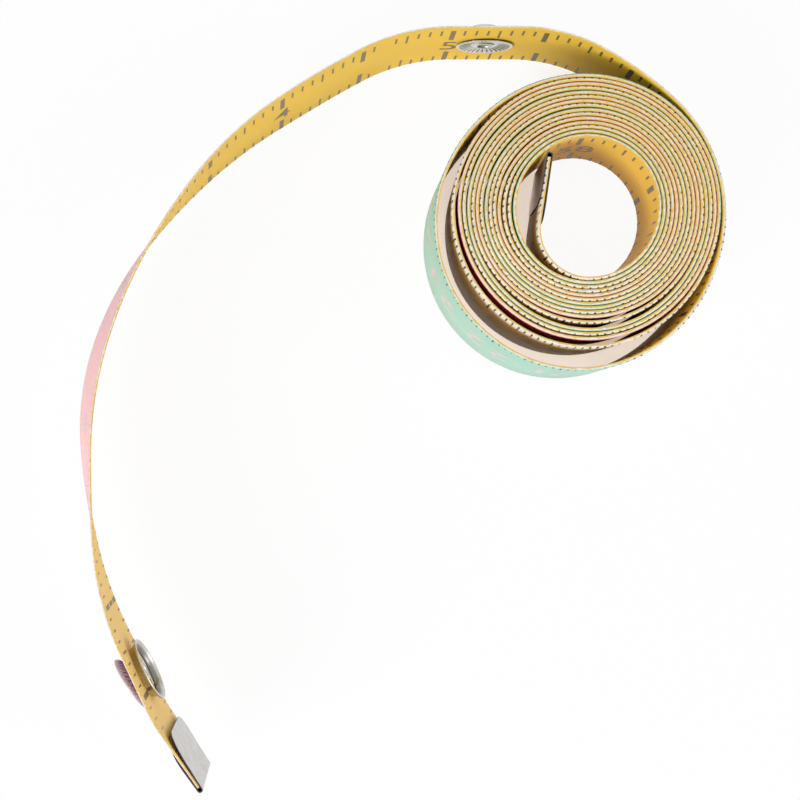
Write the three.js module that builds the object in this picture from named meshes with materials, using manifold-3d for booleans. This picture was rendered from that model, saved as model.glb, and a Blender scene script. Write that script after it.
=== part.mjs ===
import * as THREE from 'three';
import { mergeVertices } from 'three/addons/utils/BufferGeometryUtils.js';
import Module from 'manifold-3d';

const wasm = await Module();
wasm.setup();

// Lengths are in millimetres and angles in degrees.
// The tape stands on its lower edge, with its inch face on the inside of every bend.

// The strip, drawn thinner than the real cloth so that its laps keep clear of each other
const tapeWidth = 19;
const tapeThickness = 0.15;
const clearance = 0.3;
const stationStep = 3;
const walkStep = 0.25;

// The coil, wound outward from the bottom of the bore
const coilStartRadius = 9.35;
const coilPitch = 0.56;
const coilStartAngle = -90;
const fullTurn = 360;
const coilTurns = 15.3125;
const stepsPerTurn = 32;
const tangentTurns = 0.001;

// Places where the outer and inner laps stand loose, each widening all the laps outside it
const looseLaps = [
  { fromTurn: 1.375, pitchShare: 0.23, centre: 185, half: 60 },
  { fromTurn: 2.375, pitchShare: 0.23, centre: 185, half: 60 },
  { fromTurn: 3.375, pitchShare: 0.23, centre: 185, half: 60 },
  { fromTurn: 4.375, pitchShare: 0.18, centre: 140, half: 70 },
  { fromTurn: 7.375, pitchShare: 0.23, centre: 135, half: 80 },
  { fromTurn: 9.375, pitchShare: 0.36, centre: 280, half: 65 },
  { fromTurn: 10.375, pitchShare: 0.75, centre: 270, half: 90 },
  { fromTurn: 11.375, pitchShare: 0.21, centre: 140, half: 70 },
  { fromTurn: 12.375, pitchShare: 0.21, centre: 230, half: 100 },
  { fromTurn: 13.375, pitchShare: 1.25, centre: 240, half: 110 },
  { fromTurn: 14.375, pitchShare: 4.64, centre: 238, half: 140 },
  { fromTurn: 14.375, pitchShare: 1.39, centre: 220, half: 88 },
];

// The outermost lap's lower edge stands out from the coil
const flareFromTurn = 14.375;
const flareLean = 4.7;
const flareCentre = 220;
const flareHalf = 88;

// The inner run, from the bottom of the bore up to the inner metal end
const innerBend = 11.3;
const innerBendTurn = 98;
const innerStraight = 9.2;

// The tail, from where it leaves the coil to the fold of the outer metal end
const coilToStud = 36.6;
const studToSocket = 116.9;
const socketToTip = 16.6;
const snapFlat = 8.6;
const tipStraight = 9.2;
const firstArcShares = [0.28, 0.36, 0.36];
const middleArcCount = 8;
const tailHeadings = [
  111.2, 136.8, 151.6, 180.6, 180.6, 208.9, 214.3, 228.3, 238.6, 253.6, 271.9, 279.4, 296.2, 296.2, 304.8, 304.8,
];
const printedZeroInset = 1.4;
const leanPeak = 15.6;
const leanCentre = 55.4;
const leanHalfToTip = 51.7;
const leanHalfToCoil = 52.9;
const tipLean = 5.3;
const tipLeanHalf = 39.3;
const slopePeak = 5.7;
const slopeCentre = 93.8;
const slopeHalfToTip = 44.9;
const slopeHalfToCoil = 73.3;
const arcsInCoil = 1;
const arcsToMiddle = 7;
const arcsToEnd = 11;

// The folded metal ends
const ferruleSheet = 0.28;
const ferruleSlot = 0.8;
const ferruleCorner = 2.5;
const outerFerruleLength = 8.9;
const innerFerruleLength = 9.1;
const shortFlapShare = 0.74;
const mouthFlare = 0.15;
const mouthFlareLength = 0.9;
const foldSteps = 8;

// The two halves of the press stud
const snapSheet = 0.25;
const barrelRadius = 0.95;
const barrelWall = 0.3;
const capRadius = 3.9;
const capRim = 0.4;
const capRise = 0.6;
const capPlateauRadius = 1.6;
const capRecessRadius = 1.3;
const capRecess = 0.2;
const flutes = 24;
const fluteDepth = 0.12;
const studFlangeRadius = 3.6;
const studNeckRadius = 1.6;
const studHeadRadius = 1.95;
const studRise = 2;
const studMouthRadius = 0.8;
const studBevel = 0.25;
const shellRadius = 4.25;
const shellMouthRadius = 3.05;
const shellRise = 1.4;
const shellBend = 0.35;
const shellLip = 0.3;
const barrelLanding = 0.2;
const turnedSteps = 32;

// The wire spring that lies in the socket and closes round the stud's neck
const wireRadius = 0.15;
const legShare = 0.62;
const elbowAlongShare = 0.7;
const elbowAcrossShare = 0.69;
const springArcStart = -120;
const springArcEnd = 33;
const springArcPoints = 9;
const wireSteps = 44;
const wireSides = 8;

const tapeMaterial = { color: 0xd9aa3f, roughness: 0.6, metalness: 0 };
const endMaterial = { color: 0xd2cfcc, roughness: 0.35, metalness: 0.9 };
const snapMaterial = { color: 0xc6c3be, roughness: 0.3, metalness: 0.95 };
const wireMaterial = { color: 0xb9a06a, roughness: 0.3, metalness: 0.95 };

const radians = THREE.MathUtils.degToRad;
const halfWidth = tapeWidth / 2;
const halfThickness = tapeThickness / 2;
const halfSplit = clearance / 2;
const tailLength = coilToStud + studToSocket + socketToTip;
const legSpread = studNeckRadius + wireRadius;
const springRadius = shellRadius - snapSheet - clearance - wireRadius;

function bump(offset, half) {
  if (Math.abs(offset) >= half) {
    return 0;
  }
  return Math.cos((offset / half) * (Math.PI / 2)) ** 2;
}

function wrapDegrees(angle) {
  return THREE.MathUtils.euclideanModulo(angle + fullTurn / 2, fullTurn) - fullTurn / 2;
}

// A station is a point on the strip's mid-line with its heading, lean and slope
function frameOf(station) {
  const heading = radians(station.heading);
  const slope = radians(station.slope);
  const lean = radians(station.lean);
  const along = new THREE.Vector3(Math.cos(heading), Math.sin(heading), 0);
  const side = new THREE.Vector3(-along.y, along.x, 0);
  const up = new THREE.Vector3(0, 0, Math.cos(slope)).addScaledVector(along, -Math.sin(slope));
  along.multiplyScalar(Math.cos(slope)).setZ(Math.sin(slope));
  const width = up.clone().multiplyScalar(Math.cos(lean)).addScaledVector(side, Math.sin(lean));
  const inward = side.clone().multiplyScalar(Math.cos(lean)).addScaledVector(up, -Math.sin(lean));
  return { point: station.point, along, inward, width };
}

function coilRadius(turn) {
  const angle = coilStartAngle + turn * fullTurn;
  const open = looseLaps.filter((lap) => turn >= lap.fromTurn);
  const widths = open.map((lap) => lap.pitchShare * bump(wrapDegrees(angle - lap.centre), lap.half));
  return coilStartRadius + coilPitch * (turn + widths.reduce((sum, width) => sum + width, 0));
}

function coilPoint(turn) {
  const angle = radians(coilStartAngle + turn * fullTurn);
  const radius = coilRadius(turn);
  return new THREE.Vector3(radius * Math.cos(angle), radius * Math.sin(angle), halfWidth);
}

function coilStation(turn) {
  const ahead = coilPoint(turn + tangentTurns).sub(coilPoint(turn - tangentTurns));
  const heading = THREE.MathUtils.radToDeg(Math.atan2(ahead.y, ahead.x));
  const flare = wrapDegrees(coilStartAngle + turn * fullTurn - flareCentre);
  const lean = turn >= flareFromTurn ? flareLean * bump(flare, flareHalf) : 0;
  return { point: coilPoint(turn), heading, lean, slope: 0 };
}

// Stations of the inner run are counted back from the coil's start
function innerStation(back) {
  const start = coilStation(0);
  const headingAt = (distance) => start.heading - innerBendTurn * Math.min(distance / innerBend, 1);
  const steps = Math.max(1, Math.ceil(back / walkStep));
  const point = start.point.clone();
  for (let i = 0; i < steps; i += 1) {
    const heading = radians(headingAt(((i + 0.5) * back) / steps));
    point.x -= (Math.cos(heading) * back) / steps;
    point.y -= (Math.sin(heading) * back) / steps;
  }
  return { point, heading: headingAt(back), lean: 0, slope: 0 };
}

function tailArcEnds() {
  const ends = [0];
  const push = (length) => ends.push(ends[ends.length - 1] + length);
  firstArcShares.forEach((share) => push(share * (coilToStud - snapFlat / 2)));
  push(snapFlat);
  for (let i = 0; i < middleArcCount; i += 1) {
    push((studToSocket - snapFlat) / middleArcCount);
  }
  push(snapFlat);
  push(socketToTip - snapFlat / 2 - tipStraight);
  push(tipStraight);
  return ends;
}

const arcEnds = tailArcEnds();

function tailHeading(distance) {
  const last = tailHeadings.length - 1;
  const index = Math.min(arcEnds.findIndex((end) => end > distance), last);
  if (index < 1) {
    return tailHeadings[last];
  }
  const share = (distance - arcEnds[index - 1]) / (arcEnds[index] - arcEnds[index - 1]);
  return THREE.MathUtils.lerp(tailHeadings[index - 1], tailHeadings[index], share);
}

function tailTwist(distance) {
  const fromZero = tailLength - printedZeroInset - Math.min(distance, tailLength - tipStraight);
  const leanHalf = fromZero > leanCentre ? leanHalfToCoil : leanHalfToTip;
  const slopeHalf = fromZero > slopeCentre ? slopeHalfToCoil : slopeHalfToTip;
  const nearTip = tipLean * bump(fromZero + printedZeroInset, tipLeanHalf);
  const lean = leanPeak * bump(fromZero - leanCentre, leanHalf) + nearTip;
  return { lean, slope: slopePeak * bump(fromZero - slopeCentre, slopeHalf) };
}

function tailStation(distance) {
  const point = coilPoint(coilTurns);
  const steps = Math.max(1, Math.ceil(distance / walkStep));
  for (let i = 0; i < steps; i += 1) {
    const middle = ((i + 0.5) * distance) / steps;
    const heading = radians(tailHeading(middle));
    const slope = radians(tailTwist(middle).slope);
    point.x += (Math.cos(heading) * Math.cos(slope) * distance) / steps;
    point.y += (Math.sin(heading) * Math.cos(slope) * distance) / steps;
    point.z += (Math.sin(slope) * distance) / steps;
  }
  return { point, heading: tailHeading(distance), ...tailTwist(distance) };
}

function distancesBetween(from, to, breaks) {
  const stops = [from, ...breaks.filter((stop) => stop > from && stop < to), to];
  const list = [from];
  for (let i = 1; i < stops.length; i += 1) {
    const count = Math.ceil((stops[i] - stops[i - 1]) / stationStep);
    for (let k = 1; k <= count; k += 1) {
      list.push(stops[i - 1] + ((stops[i] - stops[i - 1]) * k) / count);
    }
  }
  return list;
}

// One closed strip through the stations: four corners at each, two end faces
function stripGeometry(stations) {
  const positions = [];
  stations.map(frameOf).forEach(({ point, inward, width }) => {
    [[1, -1], [1, 1], [-1, 1], [-1, -1]].forEach(([inSign, upSign]) => {
      const corner = point.clone().addScaledVector(inward, inSign * halfThickness);
      positions.push(...corner.addScaledVector(width, upSign * halfWidth).toArray());
    });
  });
  const index = [];
  for (let i = 0; i + 1 < stations.length; i += 1) {
    for (let k = 0; k < 4; k += 1) {
      const a = i * 4 + k;
      const b = i * 4 + ((k + 1) % 4);
      index.push(a, b, b + 4, a, b + 4, a + 4);
    }
  }
  const end = (stations.length - 1) * 4;
  index.push(0, 2, 1, 0, 3, 2, end, end + 1, end + 2, end, end + 2, end + 3);
  return indexed(positions, index);
}

function indexed(positions, index) {
  const geometry = new THREE.BufferGeometry();
  geometry.setAttribute('position', new THREE.Float32BufferAttribute(positions, 3));
  geometry.setIndex(index);
  return geometry;
}

// A closed ring of profile points turned about the Y axis, each with a share of the flutes
function turnedGeometry(profile, steps) {
  const positions = [];
  for (let i = 0; i < steps; i += 1) {
    const angle = (i / steps) * 2 * Math.PI;
    const wave = fluteDepth * Math.cos(flutes * angle);
    profile.forEach(([radius, rise, fluteShare = 0]) => {
      positions.push(radius * Math.sin(angle), rise + fluteShare * wave, radius * Math.cos(angle));
    });
  }
  const count = profile.length;
  const index = [];
  for (let i = 0; i < steps; i += 1) {
    for (let k = 0; k < count; k += 1) {
      const a = i * count + k;
      const b = i * count + ((k + 1) % count);
      const c = ((i + 1) % steps) * count + k;
      const d = ((i + 1) % steps) * count + ((k + 1) % count);
      index.push(a, c, d, a, d, b);
    }
  }
  return indexed(positions, index);
}

function solidOf(geometry) {
  const plain = geometry.clone();
  plain.deleteAttribute('normal');
  plain.deleteAttribute('uv');
  const merged = mergeVertices(plain);
  return new wasm.Manifold(new wasm.Mesh({
    numProp: 3,
    vertProperties: new Float32Array(merged.attributes.position.array),
    triVerts: new Uint32Array(merged.index.array),
  }));
}

function geometryOf(solid) {
  const mesh = solid.getMesh();
  const geometry = new THREE.BufferGeometry();
  geometry.setAttribute('position', new THREE.Float32BufferAttribute(mesh.vertProperties, 3));
  geometry.setIndex([...mesh.triVerts]);
  return geometry;
}

// Local axes on the strip: X along it, Y towards the inch face, Z across its width
function placeOn(frame, flip) {
  const sign = flip ? -1 : 1;
  const along = frame.along.clone().multiplyScalar(sign);
  const across = frame.width.clone().multiplyScalar(sign);
  return new THREE.Matrix4().makeBasis(along, frame.inward, across).setPosition(frame.point);
}

function placeOutside(frame) {
  const outward = frame.inward.clone().negate();
  const across = frame.width.clone().negate();
  return new THREE.Matrix4().makeBasis(frame.along, outward, across).setPosition(frame.point);
}

const seat = halfThickness + clearance;

// The fluted cap, with a barrel that goes down through the strip
function capGeometry(barrelReach) {
  const crown = seat + capRise;
  const recess = crown - capRecess;
  const bore = barrelRadius - barrelWall;
  const inner = capRadius - capRim;
  const edge = seat + snapSheet;
  const topPoints = [
    [capRadius, edge],
    [inner, edge + snapSheet, 1],
    [capPlateauRadius, crown],
    [capRecessRadius, recess],
    [bore, recess],
    [bore, -barrelReach],
  ];
  const underPoints = [
    [barrelRadius, -barrelReach],
    [barrelRadius, recess - snapSheet],
    [capRecessRadius, recess - snapSheet],
    [capPlateauRadius, crown - snapSheet],
    [inner, edge, 1],
    [capRadius, seat],
  ];
  return turnedGeometry([...topPoints, ...underPoints], flutes * 2);
}

function studGeometry() {
  const hole = barrelRadius + clearance;
  const top = seat + studRise;
  return turnedGeometry([
    [studFlangeRadius, seat],
    [studFlangeRadius, seat + snapSheet],
    [studNeckRadius + snapSheet, seat + snapSheet],
    [studNeckRadius, seat + 2 * snapSheet],
    [studNeckRadius, top - 3 * studBevel],
    [studHeadRadius, top - 2 * studBevel],
    [studHeadRadius, top - studBevel],
    [studHeadRadius - studBevel, top],
    [studMouthRadius, top],
    [studMouthRadius, top - snapSheet],
    [hole, top - snapSheet],
    [hole, seat],
  ], turnedSteps);
}

function shellGeometry() {
  const hole = barrelRadius + clearance;
  const top = seat + shellRise;
  const wall = shellRadius - snapSheet;
  return turnedGeometry([
    [shellRadius - shellBend, seat],
    [shellRadius, seat + shellBend],
    [shellRadius, top - shellBend],
    [shellRadius - shellBend, top],
    [shellMouthRadius + shellLip, top],
    [shellMouthRadius, top - shellLip],
    [shellMouthRadius, top - snapSheet - shellLip / 2],
    [shellMouthRadius + snapSheet, top - snapSheet - shellLip / 2],
    [shellRadius - shellBend, top - snapSheet],
    [wall, top - shellBend],
    [wall, seat + shellBend],
    [shellRadius - shellBend, seat + snapSheet],
    [hole, seat + snapSheet],
    [hole, seat],
  ], turnedSteps);
}

function wireGeometry() {
  const level = seat + snapSheet + clearance + wireRadius;
  const at = (across, along) => new THREE.Vector3(along, level, across);
  const leg = legShare * springRadius;
  const points = [at(-legSpread, leg), at(-legSpread, 0), at(-legSpread, -leg)];
  for (let i = 0; i < springArcPoints; i += 1) {
    const share = i / (springArcPoints - 1);
    const angle = radians(THREE.MathUtils.lerp(springArcStart, springArcEnd, share));
    points.push(at(springRadius * Math.cos(angle), springRadius * Math.sin(angle)));
  }
  points.push(at(elbowAcrossShare * springRadius, elbowAlongShare * springRadius));
  points.push(at(legSpread, leg), at(legSpread, 0), at(legSpread, -leg));
  const rim = Array.from({ length: wireSides }, (unused, i) => {
    const angle = (i / wireSides) * 2 * Math.PI;
    return new THREE.Vector2(wireRadius * Math.cos(angle), wireRadius * Math.sin(angle));
  });
  return new THREE.ExtrudeGeometry(new THREE.Shape(rim), {
    steps: wireSteps,
    extrudePath: new THREE.CatmullRomCurve3(points, false, 'centripetal'),
  });
}

function extruded(shape, depth) {
  return new THREE.ExtrudeGeometry(shape, { depth, bevelEnabled: false, curveSegments: foldSteps });
}

// A flap's outline in X and Z with its mouth corners rounded, extruded through Y
function flapPrism(length, low, high) {
  const shape = new THREE.Shape();
  shape.moveTo(clearance, -halfWidth - clearance);
  shape.lineTo(clearance, halfWidth + clearance);
  shape.lineTo(ferruleCorner - length, halfWidth + clearance);
  shape.absarc(ferruleCorner - length, halfWidth - ferruleCorner, ferruleCorner, Math.PI / 2, Math.PI);
  shape.absarc(ferruleCorner - length, ferruleCorner - halfWidth, ferruleCorner, Math.PI, 1.5 * Math.PI);
  shape.lineTo(ferruleCorner - length, -halfWidth - clearance);
  const prism = extruded(shape, high - low);
  prism.rotateX(Math.PI / 2);
  prism.translate(0, high, 0);
  return solidOf(prism);
}

// The metal end in local axes, folded at X = 0 and open towards -X
function ferruleGeometry(length) {
  const inner = ferruleSlot / 2;
  const outer = inner + ferruleSheet;
  const shortLength = length * shortFlapShare;
  const shape = new THREE.Shape();
  shape.moveTo(-length, outer + mouthFlare);
  shape.lineTo(-length, inner + mouthFlare);
  shape.lineTo(mouthFlareLength - length, inner);
  shape.absarc(-outer, 0, inner, Math.PI / 2, -Math.PI / 2, true);
  shape.lineTo(mouthFlareLength - shortLength, -inner);
  shape.lineTo(-shortLength, -inner - mouthFlare);
  shape.lineTo(-shortLength, -outer - mouthFlare);
  shape.lineTo(mouthFlareLength - shortLength, -outer);
  shape.absarc(-outer, 0, outer, -Math.PI / 2, Math.PI / 2, false);
  shape.lineTo(mouthFlareLength - length, outer);
  const fold = extruded(shape, tapeWidth);
  fold.translate(0, 0, -halfWidth);
  const reach = outer + mouthFlare + clearance;
  const longSide = flapPrism(length, -inner / 2, reach);
  const shortSide = flapPrism(shortLength, -reach, inner / 2);
  return geometryOf(solidOf(fold).intersect(longSide.add(shortSide)));
}

// The hole in the strip that a cap's barrel goes through
function pierced(stations, frame) {
  const drill = new THREE.CylinderGeometry(
    barrelRadius + clearance,
    barrelRadius + clearance,
    tapeThickness + 2 * clearance,
    turnedSteps,
  );
  drill.applyMatrix4(placeOn(frame, false));
  return geometryOf(solidOf(stripGeometry(stations)).subtract(solidOf(drill)));
}

const innerEnd = innerBend + innerStraight;
const studFrame = frameOf(tailStation(coilToStud));
const socketFrame = frameOf(tailStation(coilToStud + studToSocket));
const outerTipFrame = frameOf(tailStation(tailLength));
const innerTipFrame = frameOf(innerStation(innerEnd));
const stripInset = ferruleSheet + clearance;

function tailStations(from, to) {
  return distancesBetween(from, to, arcEnds).map(tailStation);
}

function coilStations() {
  const list = [];
  for (let i = 0; i < coilTurns * stepsPerTurn; i += 1) {
    list.push(coilStation(i / stepsPerTurn));
  }
  return [...list, ...tailStations(0, arcEnds[arcsInCoil] - halfSplit)];
}

function innerStations() {
  const stops = distancesBetween(clearance, innerEnd - stripInset, [innerBend]);
  return stops.reverse().map(innerStation);
}

// Least distance between neighbouring laps, from the outer corners to the next lap's inner face
function leastGap(stations) {
  const frames = stations.map(frameOf);
  const outerLine = frames.map(({ point, inward }) => point.clone().addScaledVector(inward, -halfThickness));
  const innerLine = frames.map(({ point, inward }) => point.clone().addScaledVector(inward, halfThickness));
  const nearest = new THREE.Vector3();
  const segment = new THREE.Line3();
  const gapBetween = (points, line, order) => Math.min(...points.flatMap((point, i) => {
    const gaps = [];
    for (let k = 0; k + 1 < line.length; k += 1) {
      if (order * (k - i) > stepsPerTurn / 2) {
        segment.set(line[k], line[k + 1]).closestPointToPoint(point, true, nearest);
        gaps.push(nearest.distanceTo(point));
      }
    }
    return gaps;
  }));
  return Math.min(gapBetween(outerLine, innerLine, 1), gapBetween(innerLine, outerLine, -1));
}

const part = new THREE.Group();
const assembly = new THREE.Group();
part.add(assembly);

function addPiece(name, geometry, matrix, look) {
  const mesh = new THREE.Mesh(geometry, new THREE.MeshStandardMaterial(look));
  mesh.name = name;
  geometry.applyMatrix4(matrix);
  geometry.computeVertexNormals();
  assembly.add(mesh);
}

const still = new THREE.Matrix4();
const wound = coilStations();
const nearStations = tailStations(arcEnds[arcsInCoil] + halfSplit, arcEnds[arcsToMiddle] - halfSplit);
const middleStations = tailStations(arcEnds[arcsToMiddle] + halfSplit, arcEnds[arcsToEnd] - halfSplit);
const endStations = tailStations(arcEnds[arcsToEnd] + halfSplit, tailLength - stripInset);
const throughStrip = seat + clearance;

addPiece('tape_coil', stripGeometry(wound), still, tapeMaterial);
addPiece('tape_inner_end', stripGeometry(innerStations()), still, tapeMaterial);
addPiece('tape_tail_near', pierced(nearStations, studFrame), still, tapeMaterial);
addPiece('tape_tail_middle', stripGeometry(middleStations), still, tapeMaterial);
addPiece('tape_tail_end', pierced(endStations, socketFrame), still, tapeMaterial);
addPiece('inner_ferrule', ferruleGeometry(innerFerruleLength), placeOn(innerTipFrame, true), endMaterial);
addPiece('outer_ferrule', ferruleGeometry(outerFerruleLength), placeOn(outerTipFrame, false), endMaterial);

const studBarrel = seat + studRise - snapSheet - clearance;
addPiece('stud_post_cap', capGeometry(studBarrel), placeOn(studFrame, false), snapMaterial);
addPiece('stud', studGeometry(), placeOutside(studFrame), snapMaterial);

const socketBarrel = throughStrip + snapSheet + barrelLanding - clearance;
addPiece('socket_post_cap', capGeometry(socketBarrel), placeOutside(socketFrame), snapMaterial);
addPiece('socket_shell', shellGeometry(), placeOn(socketFrame, false), snapMaterial);
addPiece('socket_spring', wireGeometry(), placeOn(socketFrame, false), wireMaterial);

console.log('least gap of the coil to itself, mm:', leastGap(wound).toFixed(3));

const box = new THREE.Box3().setFromObject(assembly);
const middle = box.getCenter(new THREE.Vector3());
assembly.position.set(-middle.x, -middle.y, -box.min.z);

export default part;
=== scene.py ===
import math

import bmesh
import bpy
import numpy as np
from mathutils import Matrix, Vector


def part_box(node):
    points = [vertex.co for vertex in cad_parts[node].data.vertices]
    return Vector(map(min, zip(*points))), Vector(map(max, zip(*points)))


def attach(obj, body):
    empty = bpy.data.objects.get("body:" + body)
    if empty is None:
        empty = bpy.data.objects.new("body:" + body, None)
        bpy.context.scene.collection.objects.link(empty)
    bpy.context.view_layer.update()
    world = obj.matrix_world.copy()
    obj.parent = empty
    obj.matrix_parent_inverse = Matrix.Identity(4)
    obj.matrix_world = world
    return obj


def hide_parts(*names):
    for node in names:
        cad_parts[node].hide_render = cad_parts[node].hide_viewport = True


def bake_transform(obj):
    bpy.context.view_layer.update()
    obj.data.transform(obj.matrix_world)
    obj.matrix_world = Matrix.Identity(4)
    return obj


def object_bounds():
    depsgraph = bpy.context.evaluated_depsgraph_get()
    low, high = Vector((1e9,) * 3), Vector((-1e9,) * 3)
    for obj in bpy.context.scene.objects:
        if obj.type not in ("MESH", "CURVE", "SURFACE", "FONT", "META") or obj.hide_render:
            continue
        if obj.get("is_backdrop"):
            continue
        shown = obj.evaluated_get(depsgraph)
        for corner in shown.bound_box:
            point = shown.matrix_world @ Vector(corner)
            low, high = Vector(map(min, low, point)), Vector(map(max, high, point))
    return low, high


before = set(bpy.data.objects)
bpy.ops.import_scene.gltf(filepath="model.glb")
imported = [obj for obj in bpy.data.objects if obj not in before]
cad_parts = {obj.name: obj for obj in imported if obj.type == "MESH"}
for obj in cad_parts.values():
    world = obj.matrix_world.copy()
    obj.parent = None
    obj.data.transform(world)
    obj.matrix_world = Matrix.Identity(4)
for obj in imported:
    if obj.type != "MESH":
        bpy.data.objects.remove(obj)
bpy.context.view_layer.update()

MM = 0.001
FULL_TURN = 360
START_ANGLE = -90

# The strip, in millimetres
WIDTH = 19.0
THICK = 0.45
HALF = THICK / 2
BEVEL = 0.13

# How finely the path is laid out, and which of its points are kept
PATH_STEP = 0.1
TAIL_STRIDE = 4
STEPS_PER_TURN = 240
INNER_STEPS = 205
INNER_STRIDE = 5

# The coil and the run inside it; a loose lap is (from turn, share of the pitch, centre, half width)
START_RADIUS = 9.35
PITCH = 0.56
TURNS = 15.3125
LOOSE = [
    (1.375, 0.23, 185, 60),
    (2.375, 0.23, 185, 60),
    (3.375, 0.23, 185, 60),
    (4.375, 0.18, 140, 70),
    (7.375, 0.23, 135, 80),
    (9.375, 0.36, 280, 65),
    (10.375, 0.75, 270, 90),
    (11.375, 0.21, 140, 70),
    (12.375, 0.21, 230, 100),
    (13.375, 1.25, 240, 110),
    (14.375, 4.64, 238, 140),
    (14.375, 1.39, 220, 88),
    (13.375, 0.54, 225, 78),
    (14.375, -0.54, 225, 78),
]
INNER_BEND = 11.3
INNER_TURN = 98.0
INNER_STRAIGHT = 9.2
FLARE_FROM = 14.375
FLARE_LEAN = 4.7
FLARE_CENTRE = 220
FLARE_HALF = 88
FLARE_HALF_BEFORE = 98
SECOND_LEAN = 2.6
SECOND_HALF = 78
SECOND_SHIFT = 5

# The tail
COIL_TO_STUD = 36.6
STUD_TO_SOCKET = 116.9
SOCKET_TO_TIP = 16.6
SNAP_FLAT = 8.6
TIP_STRAIGHT = 9.2
FIRST_SHARES = (0.28, 0.36, 0.36)
SPAN_ARCS = 8
ROOT_ARC, MIDDLE_ARC, END_ARC = 1, 7, 11
HEADINGS = (
    111.2, 136.8, 151.6, 180.6, 180.6, 208.9, 214.3, 228.3,
    238.6, 253.6, 271.9, 279.4, 296.2, 296.2, 304.8, 304.8,
)
ZERO_INSET = 1.4

# Lean and slope of the tail: (peak in degrees, its place from the zero mark, half widths to both sides)
LEAN = (15.6, 55.4, 51.7, 52.9)
TIP_LEAN = (5.3, 39.3)
SLOPE = (5.7, 93.8, 44.9, 73.3)
TAIL = COIL_TO_STUD + STUD_TO_SOCKET + SOCKET_TO_TIP


def wrapped(angle):
    return (angle + FULL_TURN / 2) % FULL_TURN - FULL_TURN / 2


def bump(offset, half):
    """A smooth rise to one at the middle, and zero beyond the half width."""
    inside = np.clip(offset / half, -1, 1)
    return np.where(np.abs(offset) < half, np.cos(inside * math.pi / 2) ** 2, 0.0)


def coil_radius(turn):
    turn = np.asarray(turn, float)
    angle = START_ANGLE + turn * FULL_TURN
    extra = np.zeros_like(turn)
    for start, share, centre, half in LOOSE:
        offset = wrapped(angle - centre)
        extra += np.where(turn >= start, share * bump(offset, half), 0)
    return START_RADIUS + PITCH * (turn + extra)


def coil_xy(turn):
    angle = np.radians(START_ANGLE + np.asarray(turn) * FULL_TURN)
    radius = coil_radius(turn)
    return np.stack([radius * np.cos(angle), radius * np.sin(angle)], -1)


def coil_heading(turn):
    """The heading along the coil in degrees, from a small step either way."""
    turn, nudge = np.asarray(turn), 0.001
    ahead = coil_xy(turn + nudge) - coil_xy(turn - nudge)
    return np.degrees(np.arctan2(ahead[..., 1], ahead[..., 0]))


def arc_ends():
    """Where the tail's arcs end, measured from the coil; its press stud halves sit on straight arcs."""
    ends = [0.0]
    lengths = [share * (COIL_TO_STUD - SNAP_FLAT / 2) for share in FIRST_SHARES]
    lengths += [SNAP_FLAT] + [(STUD_TO_SOCKET - SNAP_FLAT) / SPAN_ARCS] * SPAN_ARCS
    lengths += [SNAP_FLAT, SOCKET_TO_TIP - SNAP_FLAT / 2 - TIP_STRAIGHT, TIP_STRAIGHT]
    for length in lengths:
        ends.append(ends[-1] + length)
    return np.array(ends)


ARC_ENDS = arc_ends()


def lopsided(place, peak, centre, half_to_tip, half_to_coil):
    """A bump with its own half width on each side."""
    return peak * bump(place - centre, np.where(place > centre, half_to_coil, half_to_tip))


def lean_slope(distance):
    """The tail's lean and slope in degrees at a distance from the coil."""
    from_zero = TAIL - ZERO_INSET - np.minimum(distance, TAIL - TIP_STRAIGHT)
    tip_peak, tip_half = TIP_LEAN
    lean = lopsided(from_zero, *LEAN) + tip_peak * bump(from_zero + ZERO_INSET, tip_half)
    return lean, lopsided(from_zero, *SLOPE)


def direction(heading, slope):
    """Unit vectors for headings and slopes in radians."""
    flat = np.cos(slope)
    return np.stack([np.cos(heading) * flat, np.sin(heading) * flat, np.sin(slope)], -1)


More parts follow.
